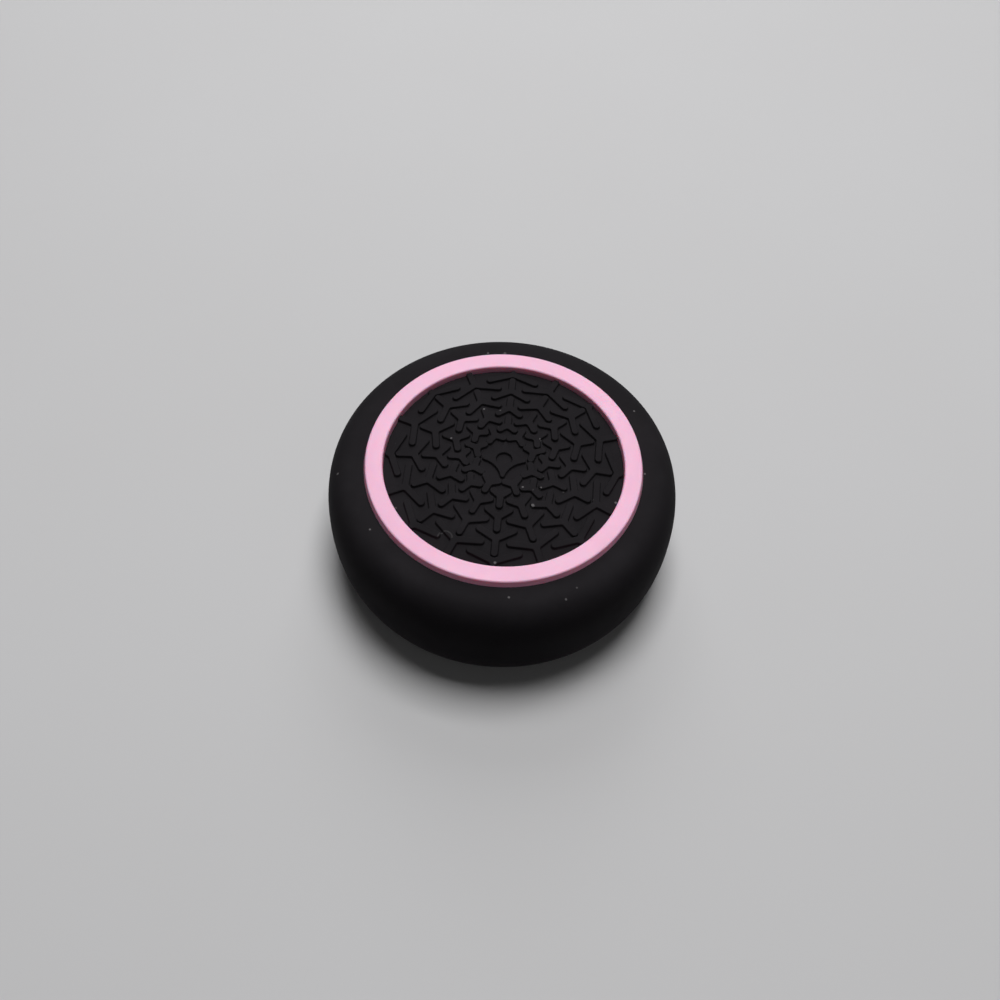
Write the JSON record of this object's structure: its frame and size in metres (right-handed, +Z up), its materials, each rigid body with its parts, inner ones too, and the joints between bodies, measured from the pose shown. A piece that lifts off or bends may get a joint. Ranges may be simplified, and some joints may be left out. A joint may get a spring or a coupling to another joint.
{
  "type": "controller thumb grip",
  "caption": "Round silicone cap that stretches over an analogue stick's head, with a domed non-slip tread and a coloured ring around it.",
  "frame": {"origin": "middle of the flat underside of the lip", "axes": "+Z up along the cap's axis, out of the tread; +X through the middle of one even stud column"},
  "size_m": [0.022, 0.022, 0.0088],
  "materials": {
    "cap_silicone": "matte moulded black silicone",
    "ring_silicone": "matte moulded pink silicone"
  },
  "bodies": {
    "root": {"cap_body": "cap_silicone", "accent_ring": "ring_silicone"}
  },
  "joints": []
}
